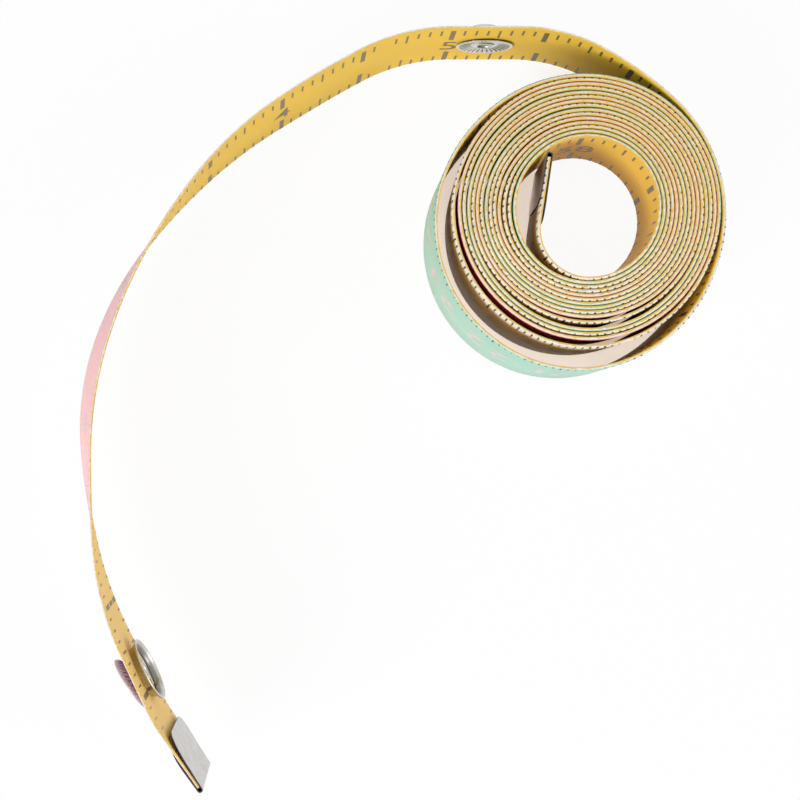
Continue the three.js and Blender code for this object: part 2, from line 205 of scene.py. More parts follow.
def build_path():
    """The strip's mid-line from the outer metal end's fold to the inner one, with its frames."""
    count = int(round(TAIL / PATH_STEP))
    middles = (np.arange(count) + 0.5) * (TAIL / count)
    heading = np.radians(np.interp(middles, ARC_ENDS, HEADINGS))
    slope = np.radians(lean_slope(middles)[1])
    moves = direction(heading, slope)
    leave = np.append(coil_xy(TURNS), WIDTH / 2)
    points = leave + np.vstack([np.zeros(3), np.cumsum(moves * (TAIL / count), 0)])
    stops = np.linspace(0, TAIL, count + 1)
    keep = np.arange(count, -1, -TAIL_STRIDE)
    lean, slope = lean_slope(stops[keep])
    rows = [(points[keep], np.interp(stops[keep], ARC_ENDS, HEADINGS), lean, slope)]

    turns = np.linspace(TURNS, 0, int(TURNS * STEPS_PER_TURN) + 1)[1:]
    flat = coil_xy(turns)
    zeros = np.zeros(len(turns))
    around = wrapped(START_ANGLE + turns * FULL_TURN - FLARE_CENTRE)
    reach = np.where(around < 0, FLARE_HALF_BEFORE, FLARE_HALF)
    flare = np.where(turns >= FLARE_FROM, FLARE_LEAN * bump(around, reach), 0.0)
    second = (turns >= FLARE_FROM - 1) & (turns < FLARE_FROM)
    flare = flare + np.where(second, SECOND_LEAN * bump(around - SECOND_SHIFT, SECOND_HALF), 0.0)
    rows.append((np.column_stack([flat, zeros + WIDTH / 2]), coil_heading(turns), flare, zeros))

    back = np.linspace(0, INNER_BEND + INNER_STRAIGHT, INNER_STEPS + 1)
    first = float(coil_heading(0.0))
    middles = (back[1:] + back[:-1]) / 2
    angle = np.radians(first - INNER_TURN * np.minimum(middles / INNER_BEND, 1))
    moves = np.stack([-np.cos(angle), -np.sin(angle), 0 * angle], -1) * (back[1] - back[0])
    inner = np.append(coil_xy(0.0), WIDTH / 2) + np.cumsum(moves, 0)
    zeros = np.zeros(len(inner))
    headings = first - INNER_TURN * np.minimum(back[1:] / INNER_BEND, 1)
    keep = np.arange(INNER_STRIDE - 1, len(inner), INNER_STRIDE)
    rows.append((inner[keep], headings[keep], zeros[keep], zeros[keep]))

    points = np.vstack([r[0] for r in rows])
    heading, lean, slope = (np.radians(np.concatenate([r[k] for r in rows])) for k in (1, 2, 3))
    toward_tip = direction(heading, slope)
    side = np.stack([-np.sin(heading), np.cos(heading), 0 * heading], -1)
    up = np.cross(toward_tip, side)
    across = up * np.cos(lean)[:, None] + side * np.sin(lean)[:, None]
    inward = side * np.cos(lean)[:, None] - up * np.sin(lean)[:, None]
    along = np.concatenate([[0], np.cumsum(np.linalg.norm(np.diff(points, axis=0), axis=1))])
    return along, points, across, inward


S, P, W, N = build_path()
LENGTH = float(S[-1])

# The path is put in the row frame by the coil's box
CAD_HALF = 0.075
low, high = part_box("tape_coil")
held = (S > TAIL - ARC_ENDS[ROOT_ARC]) & (S < LENGTH - INNER_BEND - INNER_STRAIGHT)
edges = [P[held] + W[held] * up * WIDTH / 2 for up in (-1, 1)]
rims = np.vstack([edge + N[held] * side * CAD_HALF for edge in edges for side in (-1, 1)])
corner = np.array([rims[:, 0].max(), rims[:, 1].min(), rims[:, 2].min()])
shift = np.array([high.x, low.y, low.z]) / MM - corner
P = P + shift
BORE = Vector(shift)


def frame_at(s):
    """Mid-line point, direction across the strip and direction towards the inch face."""
    s = np.atleast_1d(np.asarray(s, float))
    pick = lambda values: np.stack([np.interp(s, S, values[:, k]) for k in range(3)], -1)
    return pick(P), pick(W), pick(N)


# The outer layer is drawn at half its thickness on the tail
THINNING = ((TAIL - 20, TAIL + 10), (0.5, 1.0))


def on_strip(s, v, off):
    """Points at distance s from the outer fold, v up from the lower edge and off towards the inch face."""
    point, across, inward = frame_at(s)
    v, off = np.broadcast_to(v, len(point)), np.broadcast_to(off, len(point))
    off = np.where(off < 0, off * np.interp(s, *THINNING), off)
    return point + across * (v - WIDTH / 2)[:, None] + inward * off[:, None]


def new_object(name, verts, faces, uvs=None, mats=(), face_mats=None, smooth=True):
    mesh = bpy.data.meshes.new(name)
    mesh.from_pydata([tuple(v) for v in np.asarray(verts) * MM], [], [tuple(f) for f in faces])
    for mat in mats:
        mesh.materials.append(mat)
    if face_mats is not None:
        mesh.polygons.foreach_set("material_index", np.asarray(face_mats, np.int32))
    if uvs is not None:
        layer = mesh.uv_layers.new(name="UVMap")
        loops = np.zeros(len(mesh.loops), np.int32)
        mesh.loops.foreach_get("vertex_index", loops)
        layer.data.foreach_set("uv", np.asarray(uvs, np.float32)[loops].ravel())
    mesh.polygons.foreach_set("use_smooth", [smooth] * len(mesh.polygons))
    mesh.update()
    obj = bpy.data.objects.new(name, mesh)
    bpy.context.scene.collection.objects.link(obj)
    return obj


# Materials
def node(tree, kind, **values):
    """A node with its inputs or settings given by name."""
    item = tree.nodes.new(kind)
    for key, value in values.items():
        if key in item.inputs:
            item.inputs[key].default_value = value
        else:
            setattr(item, key, value)
    return item


def math_node(tree, operation, a, b=None):
    """A sum or the like of one or two values or sockets."""
    item = tree.nodes.new("ShaderNodeMath")
    item.operation = operation
    for index, value in enumerate((a, b)):
        if value is None:
            continue
        if isinstance(value, (int, float)):
            item.inputs[index].default_value = value
        else:
            tree.links.new(value, item.inputs[index])
    return item.outputs[0]


def mix_colour(tree, fac, a, b):
    """A colour between a and b; each of the three may be a value or a socket."""
    item = tree.nodes.new("ShaderNodeMix")
    item.data_type = "RGBA"
    for socket, value in ((item.inputs[0], fac), (item.inputs[6], a), (item.inputs[7], b)):
        if isinstance(value, (int, float)):
            socket.default_value = value
        elif isinstance(value, tuple):
            socket.default_value = (*value, 1)
        else:
            tree.links.new(value, socket)
    return item.outputs[2]


def srgb(r, g, b):
    def one(c):
        c = c / 255
        return c / 12.92 if c <= 0.04045 else ((c + 0.055) / 1.055) ** 2.4
    return (one(r), one(g), one(b))


def base_material(name, colour, roughness, metallic=0.0):
    mat = bpy.data.materials.new(name)
    mat.use_nodes = True
    mat.diffuse_color = (*colour, 1)
    tree = mat.node_tree
    shader = tree.nodes["Principled BSDF"]
    shader.inputs["Base Color"].default_value = (*colour, 1)
    shader.inputs["Roughness"].default_value = roughness
    shader.inputs["Metallic"].default_value = metallic
    return mat, tree, shader


def noise(tree, vector, scale, detail=3.0, rough=0.5):
    item = node(tree, "ShaderNodeTexNoise", Scale=scale, Detail=detail, Roughness=rough)
    tree.links.new(vector, item.inputs["Vector"])
    return item.outputs[0]


def span(tree, value, low, high, to_low=0.0, to_high=1.0):
    """The value, with low to high turned into to_low to to_high."""
    item = node(tree, "ShaderNodeMapRange")
    item.inputs[1].default_value = low
    item.inputs[2].default_value = high
    item.inputs[3].default_value = to_low
    item.inputs[4].default_value = to_high
    tree.links.new(value, item.inputs[0])
    return item.outputs[0]


def bumped(tree, shader, height, distance, strength=1.0):
    item = node(tree, "ShaderNodeBump", Strength=strength, Distance=distance)
    tree.links.new(height, item.inputs["Height"])
    tree.links.new(item.outputs[0], shader.inputs["Normal"])


def cloth_material(name, colour, roughness, dark, weave=0.9, faded=None):
    """Coated cloth: a fine woven relief under a thin satin coat, with uneven print and light soiling."""
    mat, tree, shader = base_material(name, colour, roughness)
    uv = node(tree, "ShaderNodeUVMap", uv_map="UVMap").outputs[0]
    parts = node(tree, "ShaderNodeSeparateXYZ")
    tree.links.new(uv, parts.inputs[0])
    warp = math_node(tree, "SINE", math_node(tree, "MULTIPLY", parts.outputs[0], 2 * math.pi / 0.62))
    weft = math_node(tree, "SINE", math_node(tree, "MULTIPLY", parts.outputs[1], 2 * math.pi / 0.55))
    cloth = math_node(tree, "MULTIPLY", warp, weft)
    fine = noise(tree, uv, 3.2, 5.0, 0.6)
    broad = noise(tree, uv, 0.16, 3.0, 0.55)
    speck = noise(tree, uv, 9.0, 2.0, 0.5)
    height = math_node(tree, "ADD", math_node(tree, "MULTIPLY", cloth, 0.35), fine)
    shade = span(tree, broad, 0.35, 0.7, 0.0, 0.22)
    tone = mix_colour(tree, shade, colour, dark)
    tone = mix_colour(tree, span(tree, speck, 0.55, 0.75, 0.0, 0.12), tone, dark)
    tone = mix_colour(tree, span(tree, cloth, -1.0, 1.0, 0.0, 0.07), tone, dark)
    if faded:
        tone = mix_colour(tree, span(tree, parts.outputs[0], 20.0, 90.0, 0.4, 0.0), tone, faded)
    tree.links.new(tone, shader.inputs["Base Color"])
    rough = span(tree, fine, 0.3, 0.7, roughness - 0.08, roughness + 0.12)
    tree.links.new(rough, shader.inputs["Roughness"])
    bumped(tree, shader, height, 0.00004 * weave, 0.5)
    shader.inputs["Specular IOR Level"].default_value = 0.25
    return mat


def ink_material(name, colour, worn, fades=False):
    """Thin print that breaks up over the weave, and is worn pale towards the tape's free end."""
    mat, tree, shader = base_material(name, colour, 0.5)
    uv = node(tree, "ShaderNodeUVMap", uv_map="UVMap").outputs[0]
    grain = noise(tree, uv, 4.5, 4.0, 0.65)
    wear = span(tree, grain, 0.42, 0.72, 0.0, 0.6)
    if fades:
        parts = node(tree, "ShaderNodeSeparateXYZ")
        tree.links.new(uv, parts.inputs[0])
        near_end = span(tree, parts.outputs[0], 130.0, 165.0, 0.62, 0.0)
        inside = span(tree, parts.outputs[0], 1440.0, 1460.0, 0.0, 0.5)
        wear = math_node(tree, "MAXIMUM", wear, math_node(tree, "ADD", near_end, inside))
    tone = mix_colour(tree, wear, colour, worn)
    if fades:
        rubbed = span(tree, parts.outputs[0], 12.8, 14.0, 0.75, 0.0)
        tone = mix_colour(tree, rubbed, tone, srgb(216, 172, 104))
    tree.links.new(tone, shader.inputs["Base Color"])
    tree.links.new(span(tree, grain, 0.3, 0.7, 0.4, 0.62), shader.inputs["Roughness"])
    bumped(tree, shader, grain, 0.00002, 0.4)
    return mat


def metal_material(
    name, colour, tarnish, roughness, scratch, reach=0.0012, crevice_shade_range=(0.04, 0.3), metallic=1.0
):
    """Nickel or wire with cloudy tarnish and fine scratches; shade is painted into its crevices and into
    pleat valleys and hollows.
    """
    mat, tree, shader = base_material(name, colour, roughness, metallic)
    coords = node(tree, "ShaderNodeTexCoord").outputs["Object"]
    cloud = noise(tree, coords, 700.0, 4.0, 0.6)
    fine = noise(tree, coords, 4200.0, 3.0, 0.7)
    stretch = node(tree, "ShaderNodeMapping")
    stretch.inputs["Scale"].default_value = (900.0, 900.0, 9000.0)
    tree.links.new(coords, stretch.inputs["Vector"])
    lines = noise(tree, stretch.outputs[0], 1.0, 2.0, 0.5)
    tone = mix_colour(tree, span(tree, cloud, 0.4, 0.75, 0.0, 0.5), colour, tarnish)
    # Painted shade: where ambient occlusion finds hollows, and where the shade attribute is high, the
    # colour is mixed towards dark brown-grey.
    near = node(tree, "ShaderNodeAmbientOcclusion", Distance=reach, samples=8)
    pleat_shade = node(tree, "ShaderNodeAttribute", attribute_name="flute_and_shade").outputs["Fac"]
    crevice_shade = span(tree, near.outputs["AO"], *crevice_shade_range, 0.85, 0.0)
    painted_shade = math_node(tree, "MAXIMUM", crevice_shade, span(tree, pleat_shade, 0.3, 0.75, 0.0, 0.92))
    tone = mix_colour(tree, painted_shade, tone, srgb(52, 44, 40))
    tree.links.new(tone, shader.inputs["Base Color"])
    base = span(tree, cloud, 0.3, 0.7, roughness - 0.06, roughness + 0.1)
    rough = math_node(tree, "ADD", base, math_node(tree, "MULTIPLY", fine, 0.06))
    tree.links.new(rough, shader.inputs["Roughness"])
    height = math_node(tree, "ADD", math_node(tree, "MULTIPLY", lines, scratch), fine)
    bumped(tree, shader, height, 0.000012, 0.5)
    return mat


YELLOW = cloth_material("inch_face", srgb(252, 207, 66), 0.55, srgb(232, 172, 44), 0.9, srgb(250, 214, 170))
YELLOW_EDGE = cloth_material("cut_edge_yellow", srgb(246, 208, 112), 0.75, srgb(206, 156, 66), 2.0)
WHITE_EDGE = cloth_material("cut_edge_white", srgb(250, 246, 234), 0.75, srgb(206, 196, 172), 2.0)
PINK = cloth_material("cm_band_pink", srgb(250, 198, 198), 0.5, srgb(236, 168, 170))
CREAM = cloth_material("cm_band_cream", srgb(246, 236, 218), 0.5, srgb(224, 208, 180))
MINT = cloth_material("cm_band_mint", srgb(172, 211, 195), 0.5, srgb(144, 196, 174))
# Darker copies of pink and mint for the bands from forty centimetres on, deep in the coil: painted shade.
PINK_SHADED = cloth_material("cm_band_pink_painted_shade", srgb(220, 84, 92), 0.5, srgb(176, 44, 56))
MINT_SHADED = cloth_material("cm_band_mint_painted_shade", srgb(104, 182, 128), 0.5, srgb(60, 132, 84))
PINK_EDGE = cloth_material("cm_edge_pink", srgb(246, 206, 200), 0.6, srgb(222, 150, 148), 2.0)
CREAM_EDGE = cloth_material("cm_edge_cream", srgb(244, 238, 222), 0.6, srgb(196, 184, 152), 2.0)
MINT_EDGE = cloth_material("cm_edge_mint", srgb(190, 224, 200), 0.6, srgb(140, 190, 158), 2.0)
INK = ink_material("ink_inch", srgb(40, 30, 20), srgb(150, 122, 74), True)
INK_CM = ink_material("ink_cm", srgb(34, 32, 34), srgb(92, 88, 88))
INK_GREY = ink_material("ink_cm_numbers", srgb(206, 200, 198), srgb(222, 214, 210))
INK_SOFT = ink_material("ink_cm_soft", srgb(96, 112, 98), srgb(150, 168, 150))
NICKEL = metal_material("nickel_sheet", srgb(206, 203, 201), srgb(184, 179, 175), 0.36, 0.8)
BRIGHT = metal_material(
    "nickel_press_stud", srgb(212, 208, 204), srgb(176, 168, 160), 0.2, 0.3, 0.0008, (0.12, 0.5)
)
SHELL = metal_material(
    "nickel_socket", srgb(208, 204, 198), srgb(166, 158, 150), 0.22, 0.3, 0.0008, (0.03, 0.22)
)
CAP_BACK = metal_material(
    "nickel_cap_back", srgb(192, 190, 196), srgb(154, 150, 156), 0.34, 0.3, 0.0008, (0.06, 0.3), 0.4
)
# The sheet's cut edge is near black: a painted dark reflection along the metal ends' edges.
CUT_EDGE_PAINTED_DARK = metal_material("nickel_cut_edge_painted_reflection", srgb(84, 78, 80), srgb(40, 34, 36), 0.42, 0.6)
WIRE = metal_material("spring_wire", srgb(206, 192, 158), srgb(150, 132, 96), 0.24, 0.5)
BANDS = (PINK, CREAM, MINT, CREAM, PINK_SHADED, MINT_SHADED)
BAND_EDGES = (PINK_EDGE, CREAM_EDGE, MINT_EDGE, CREAM_EDGE, PINK_EDGE, MINT_EDGE)


# The ribbons: the yellow inch layer and the coloured centimetre layer, laminated

# A row is (height, distance towards the inch face, material of the side that starts there)
SECTION = (
    (0.0, HALF, 0), (WIDTH * 0.34, HALF, 0), (WIDTH * 0.67, HALF, 0), (WIDTH - 0.03, HALF, 1),
    (WIDTH, 0.03, 2), (WIDTH, BEVEL - HALF, 3), (WIDTH - BEVEL, -HALF, 4), (WIDTH * 0.5, -HALF, 4),
    (BEVEL, -HALF, 3), (0.0, BEVEL - HALF, 2), (0.0, 0.0, 1),
)
TOP_POINTS = (3, 4, 5, 6)
FOOT_POINTS = (0, 8, 9, 10)
FRAYED_POINTS = (4, 10)
FRAY_SEED = 31
FRAY_STEP = 0.4
FRAY_COUNT = 8000
FRAY_OUT = 0.04
FRAY_UP = 0.012
END_CLEAR = 0.05
LEAST_STEP = 0.02
SHARP = math.radians(50)

# The woven edge as waves of (height, length, phase)
WAVES = ((0.055, 1.1, 0.0), (0.015, 3.7, 1.3))


def wave(s):
    """The strip's edges follow the woven threads."""
    return sum(high * np.sin(s * 2 * math.pi / long + phase) for high, long, phase in WAVES)


# The print is drawn a little longer, so that its marks in the bore stand where they are seen
PRINT_STRETCH = 1.0016
INCH = 25.4 * PRINT_STRETCH
CENTIMETRE = 10 * PRINT_STRETCH

# Marks as (every so many, length, width), and where their style changes, in millimetres of the print
INCH_MARKS = ((8, 5.2, 0.7), (4, 3.9, 0.3), (1, 2.6, 0.3))
CM_MARKS = ((10, 4.4, 0.26), (5, 3.0, 0.2), (1, 2.0, 0.2))
LAST_SIXTEENTH = 959
LAST_MILLIMETRE = 1523
LAST_CM = 152
BAND_CM = 10
SHORT_UNTIL = 300
SHORT_SHARE = 0.7
SHORT_TOP = 0.5
FAINT_UNTIL = 170
UPPER_ROW = 17.5
INCH_MIDDLE = 8.9
INCH_ROOM = 3.5
CM_ROOM = 4.5
END_ROOM = 0.3
INK_LIFT = 0.012
DIGIT_LIFT = 0.014


def band_of(cm):
    """The colour of the centimetre face, new every ten centimetres; from forty centimetres on, pink and
    mint give way to their darker copies, painted shade.
    """
    decade = max(int(cm // BAND_CM), 0)
    return decade % 4 if decade < 4 else (4, 1, 5, 3)[decade % 4]


def ribbon(name, start, end):
    """The strip from start to end as one closed band, with woven, slightly frayed edges."""
    inside = S[(S > start + END_CLEAR) & (S < end - END_CLEAR)]
    marks = np.arange(BAND_CM, LAST_CM, BAND_CM) * CENTIMETRE + ZERO_INSET
    stops = np.unique(np.concatenate([[start], inside, marks[(marks > start) & (marks < end)], [end]]))
    stops = stops[np.append(True, np.diff(stops) > LEAST_STEP)]
    stops[-1] = end
    count, ring = len(stops), len(SECTION)
    verts = np.zeros((count, ring, 3))
    uvs = np.zeros((count, ring, 2))
    fray = np.random.default_rng(FRAY_SEED).normal(0, 1, (3, FRAY_COUNT))
    number = np.round(stops / FRAY_STEP).astype(int)
    for k, (v, off, _) in enumerate(SECTION):
        lift = np.full(count, v)
        out = np.full(count, off)
        if k in FRAYED_POINTS:
            out = out + FRAY_OUT * fray[k // 10, number]
        if k in TOP_POINTS:
            lift = lift + wave(stops) + FRAY_UP * fray[2, number]
        if k in FOOT_POINTS:
            lift = lift - wave(stops)
        verts[:, k] = on_strip(stops, lift, out)
        uvs[:, k, 0] = stops
        uvs[:, k, 1] = v + off
    faces, kinds = [], []
    cm = (stops - ZERO_INSET) / CENTIMETRE
    for i in range(count - 1):
        band = band_of((cm[i] + cm[i + 1]) / 2)
        for k in range(ring):
            n = (k + 1) % ring
            faces.append((i * ring + k, (i + 1) * ring + k, (i + 1) * ring + n, i * ring + n))
            kind = SECTION[k][2]
            kinds.append(kind if kind < 3 else 3 + band + (len(BANDS) if kind == 3 else 0))
    faces.append(tuple(range(ring)))
    faces.append(tuple(reversed(range((count - 1) * ring, count * ring))))
    kinds += [2, 2]
    mats = (YELLOW, YELLOW_EDGE, WHITE_EDGE, *BANDS, *BAND_EDGES)
    obj = new_object(name, verts.reshape(-1, 3), faces, uvs.reshape(-1, 2), mats, kinds)
    obj.data.set_sharp_from_angle(angle=SHARP)
    return obj


# Digits as flat outlines, sliced finely along the strip so that they lie on its curve
TEXT_SIZE = 10.0
TEXT_HEIGHT = 7.2
SLICE = 0.35


def digit_shapes(height, squeeze, weight):
    shapes = []
    for digit in "0123456789":
        curve = bpy.data.curves.new("digit", "FONT")
        curve.body = digit
        curve.size = TEXT_SIZE
        curve.resolution_u = 3
        curve.offset = weight
        holder = bpy.data.objects.new("digit", curve)
        bpy.context.scene.collection.objects.link(holder)
        mesh = bpy.data.meshes.new_from_object(holder)
        bpy.data.objects.remove(holder)
        work = bmesh.new()
        work.from_mesh(mesh)
        bpy.data.meshes.remove(mesh)
        co = np.array([v.co[:2] for v in work.verts])
        scale = height / TEXT_HEIGHT
        for vert in work.verts:
            vert.co.x = (vert.co.x - co[:, 0].min()) * scale * squeeze
            vert.co.y = vert.co.y * scale
        wide = float(np.ptp(co[:, 0])) * scale * squeeze
        for cut in np.arange(SLICE, wide, SLICE):
            geometry = work.verts[:] + work.edges[:] + work.faces[:]
            bmesh.ops.bisect_plane(work, geom=geometry, plane_co=(cut, 0, 0), plane_no=(1, 0, 0))
        verts = np.array([v.co[:2] for v in work.verts])
        faces = [tuple(v.index for v in f.verts) for f in work.faces]
        work.free()
        shapes.append((verts, faces, wide))
    return shapes


INCH_DIGITS = digit_shapes(height=4.7, squeeze=0.86, weight=0.05)
CM_DIGITS = digit_shapes(height=6.2, squeeze=0.86, weight=0.1)


INCH_FACE, CM_FACE = 1, -1
BLACK, DARK, GREY, SOFT = range(4)
SIXTEENTHS, MILLIMETRES = 16, 10


class Print:
    """Marks and numbers gathered as flat faces on the strip."""

    def __init__(self):
        self.verts, self.faces, self.uvs, self.kinds, self.total = [], [], [], [], 0

    def add(self, s, v, off, faces, kind):
        self.verts.append(on_strip(s, v, off))
        self.uvs.append(np.stack([s, v], -1))
        for face in faces:
            self.faces.append(tuple(self.total + index for index in face))
            self.kinds.append(kind)
        self.total += len(s)

    def bar(self, s, v_low, v_high, wide, face, kind, off_low=HALF, off_high=HALF):
        left, right = s - wide / 2, s + wide / 2
        corners = np.array([left, right, right, left])
        order = (0, 1, 2, 3) if face > 0 else (3, 2, 1, 0)
        heights = np.array([v_low, v_low, v_high, v_high], float)
        offs = np.array([off_low, off_low, off_high, off_high]) + INK_LIFT
        self.add(corners, heights, face * offs, [order], kind)

    def number(self, s, middle, text, digits, gap, face, kind):
        shapes = [digits[int(c)] for c in text]
        total = sum(shape[2] for shape in shapes) + gap * (len(shapes) - 1)
        cursor = -total / 2
        for verts, faces, wide in shapes:
            x = verts[:, 0] + cursor
            tall = verts[:, 1] - np.ptp(digits[0][0][:, 1]) / 2
            self.add(s + x, middle + face * tall, face * (HALF + DIGIT_LIFT), faces, kind)
            cursor += wide + gap


def ticks(start, end, unit, parts, limit):
    """The marks between start and end, each with its number and its place on the strip."""
    first = math.ceil((start - ZERO_INSET + END_ROOM) / unit * parts)
    last = math.floor((end - ZERO_INSET - END_ROOM) / unit * parts)
    for tick in range(max(first, 1), min(last, limit) + 1):
        yield tick, ZERO_INSET + tick * unit / parts


def mark_size(tick, table):
    return next((long, wide) for every, long, wide in table if tick % every == 0)


def prints(name, start, end):
    """Inch marks on the inch face, centimetre marks on the outer face and its upper edge."""
    page = Print()
    for tick, s in ticks(start, end, INCH, SIXTEENTHS, LAST_SIXTEENTH):
        long, wide = mark_size(tick, INCH_MARKS)
        page.bar(s, 0.0, long, wide, INCH_FACE, BLACK)
        page.bar(s, UPPER_ROW - long, UPPER_ROW, wide, INCH_FACE, BLACK)
        if tick % SIXTEENTHS == 0 and start < s - INCH_ROOM and s + INCH_ROOM < end:
            number = str(tick // SIXTEENTHS)
            page.number(s, INCH_MIDDLE, number, INCH_DIGITS, 0.5, INCH_FACE, BLACK)
    for tick, s in ticks(start, end, CENTIMETRE, MILLIMETRES, LAST_MILLIMETRE):
        band = BANDS[band_of((tick - 0.5) / MILLIMETRES)]
        long, wide = mark_size(tick, CM_MARKS)
        if tick < SHORT_UNTIL:
            long *= SHORT_SHARE
        rise = float(wave(s)) + INK_LIFT
        page.bar(s, BEVEL, long, wide, CM_FACE, GREY)
        top = SHORT_TOP * long if tick < SHORT_UNTIL else long
        ink = GREY if tick < FAINT_UNTIL else DARK
        bevel = WIDTH - BEVEL + rise
        page.bar(s, WIDTH - top, bevel, wide, CM_FACE, ink)
        if band is CREAM and tick > FAINT_UNTIL:
            page.bar(s, bevel, WIDTH + rise, 0.26, CM_FACE, DARK, HALF, HALF - BEVEL - 0.02)
        elif band is MINT:
            page.bar(s, bevel, WIDTH - 0.05 + rise, 0.2, CM_FACE, SOFT, HALF, HALF - BEVEL * 0.6)
        if tick % MILLIMETRES == 0 and start < s - CM_ROOM and s + CM_ROOM < end:
            number = str(tick // MILLIMETRES)
            page.number(s, WIDTH / 2, number, CM_DIGITS, 0.7, CM_FACE, GREY)
    verts = np.vstack(page.verts)
    inks = (INK, INK_CM, INK_GREY, INK_SOFT)
    return new_object(name, verts, page.faces, np.vstack(page.uvs), inks, page.kinds, False)


INNER_START = LENGTH - INNER_BEND - INNER_STRAIGHT
JOINT_ROOT = TAIL - ARC_ENDS[ROOT_ARC]
JOINT_MIDDLE = TAIL - ARC_ENDS[MIDDLE_ARC]
JOINT_END = TAIL - ARC_ENDS[END_ARC]
CUT_ONE = (JOINT_END + JOINT_MIDDLE) / 2
CUT_SHIFT = 6.0
CUT_TWO = (JOINT_MIDDLE + JOINT_ROOT) / 2 - CUT_SHIFT
STRIP_INSET = 0.62


BLEND_ROOM = 3

# (piece, start, end, bodies on its two sides, joint, reach to each side of the joint, solid)
STRETCHES = (
    ("tail_end_strip", STRIP_INSET, CUT_ONE, "tail_end", "tail_middle", JOINT_END, 12, "tape_tail_end"),
    (
        "tail_middle_strip", CUT_ONE, CUT_TWO,
        "tail_middle", "tail_near", JOINT_MIDDLE, 12, "tape_tail_middle",
    ),
    ("tail_root_strip", CUT_TWO, TAIL, "tail_near", "coil", JOINT_ROOT, 3, "tape_tail_near"),
    ("coil_strip", TAIL, INNER_START - BLEND_ROOM, None, "coil", 0, 0, "tape_coil"),
    (
        "inner_strip", INNER_START - BLEND_ROOM, LENGTH - STRIP_INSET,
        "coil", "inner_end", INNER_START, 2, "tape_inner_end",
    ),
)
for name, start, end, near, far, joint, reach, cad in STRETCHES:
    cloth = ribbon(name, start, end)
    marks = prints(name + "_print", start, end)
    for obj in (cloth, marks):
        if near is None:
            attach(obj, far)
        else:
            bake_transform(obj)
    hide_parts(cad)


# Metal pieces, placed in a local frame: X towards the fold or along the strip, Y towards the inch face
def local_frame(s, flip_along, flip_side):
    point, across, inward = (Vector(a[0]) for a in frame_at(s))
    along = inward.cross(across)
    if flip_along:
        along, across = -along, -across
    if flip_side:
        inward, across = -inward, -across
    matrix = Matrix((along, inward, across)).transposed().to_4x4()
    matrix.translation = point * MM
    return matrix


WELD = 0.002 * MM
TURNED_SHARP = math.radians(55)


def turned(name, profile, steps, material, flute_and_shade=None, depth=0.0):
    """A profile of (radius, height, share of the flutes and their painted shade) turned about local Y, from
    rim or hole to axis.
    """
    ring = len(profile)
    verts, faces, depths = [], [], []
    for i in range(steps):
        angle = 2 * math.pi * i / steps
        deep = flute_and_shade(angle) if flute_and_shade else 0.0
        for radius, height, share in profile:
            lowered = height - share * deep * depth
            verts.append((radius * math.sin(angle), lowered, radius * math.cos(angle)))
            depths.append(share * deep)
    for i in range(steps):
        j = (i + 1) % steps
        for k in range(ring - 1):
            faces.append((i * ring + k, i * ring + k + 1, j * ring + k + 1, j * ring + k))
    obj = new_object(name, verts, faces, None, (material,))
    # Share times the pleat function is kept as a vertex attribute; the metal shaders paint shade where it
    # is high, as painted shade in pleat valleys and hollows.
    flutes = obj.data.attributes.new("flute_and_shade", "FLOAT", "POINT")
    flutes.data.foreach_set("value", np.array(depths, np.float32))
    work = bmesh.new()
    work.from_mesh(obj.data)
    bmesh.ops.remove_doubles(work, verts=work.verts, dist=WELD)
    bmesh.ops.recalc_face_normals(work, faces=work.faces)
    work.to_mesh(obj.data)
    work.free()
    obj.data.set_sharp_from_angle(angle=TURNED_SHARP)
    return obj


def smooth_profile(points, per, lift=0.0):
    """A rounded profile through the points, by Catmull-Rom, with its heights raised by lift."""
    points = [(p[0], p[1] + lift, *p[2:]) if lift else p for p in points]
    pts = [points[0]] + points + [points[-1]]
    out = []
    for i in range(1, len(pts) - 2):
        a, b, c, d = (np.array(pts[i + k], float) for k in (-1, 0, 1, 2))
        for t in np.linspace(0, 1, per, endpoint=False):
            bent = (2 * a - 5 * b + 4 * c - d) * t**2 + (3 * b - a - 3 * c + d) * t**3
            out.append(tuple(0.5 * (2 * b + (c - a) * t + bent)))
    out.append(tuple(float(x) for x in points[-1]))
    return out


FACE = HALF + 0.03
PLEATS = 30


def pleats(angle):
    return (0.5 + 0.5 * math.cos(PLEATS * angle)) ** 2.2


def cap(
    name, s, body, cad, metal, flip_side=False,
    stand=0.0, rise=1.0, ring=0.38, depth=0.26, under=0.0, tilt=0,
):
    """A flared cap with a pleated rim, which stands off the cloth; its barrel goes down to it."""
    f = FACE + stand
    tall = lambda height: f + height * rise
    # Pleat shares in the third column lower the pleats and paint shade in their valleys; under gives the
    # share beneath the rim, painted shade under it.
    profile = smooth_profile([
        (0.0, FACE - 0.02, 0), (0.85, FACE - 0.02, 0), (0.98, f + 0.02, 0), (1.06, f + 0.55 * ring, 0),
        (1.18, f + 0.94 * ring, 0), (1.36, f + ring, 0), (1.54, f + 0.7 * ring, 0), (1.78, tall(0.24), 0.1),
        (2.1, tall(0.4), 0.7), (2.7, tall(0.62), 1.0), (3.1, tall(0.76), 1.0), (3.4, tall(0.88), 0.8),
        (3.62, tall(0.96), 0.2), (3.82, tall(0.9), 0), (3.9, tall(0.76), 0), (3.8, tall(0.62), 0.3 * under),
        (3.5, tall(0.5), under), (3.0, tall(0.3), under), (2.4, tall(0.12), 0.7 * under),
        (1.9, f - 0.02, 0), (1.75, FACE - 0.16, 0), (0.0, FACE - 0.18, 0),
    ], 4)
    obj = turned(name, profile, 360, metal, pleats, depth)
    obj.matrix_world = local_frame(s, False, flip_side) @ Matrix.Rotation(math.radians(tilt), 4, "Z")
    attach(obj, body)
    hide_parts(cad)


